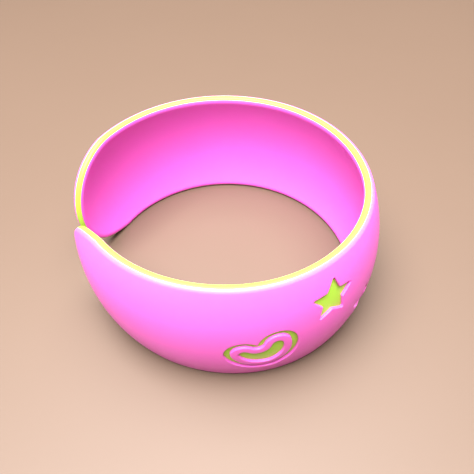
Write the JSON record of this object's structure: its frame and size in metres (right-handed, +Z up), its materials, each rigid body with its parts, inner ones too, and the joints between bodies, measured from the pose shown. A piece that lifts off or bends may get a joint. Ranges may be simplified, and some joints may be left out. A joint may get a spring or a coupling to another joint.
{
  "type": "plastic bangle",
  "caption": "Open cuff bangle with a bulging wall of laminated plastic, rounded ends, and a heart and stars carved through its outer layer.",
  "frame": {"origin": "on the surface that the bangle stands on, under the middle of its outer size", "axes": "+Z up along the axis of the wrist opening, -X towards the gap between the two ends, -Y towards the carved heart"},
  "size_m": [0.0744, 0.073, 0.031],
  "materials": {
    "outer_pink": "semi-gloss, polished by tumbling",
    "core_lime": "semi-gloss, duller on the carved floors",
    "inner_pink": "semi-gloss, polished by tumbling"
  },
  "bodies": {
    "root": {"outer_shell": "outer_pink", "core_band": "core_lime", "inner_lining": "inner_pink", "heart_island": "outer_pink"}
  },
  "joints": []
}
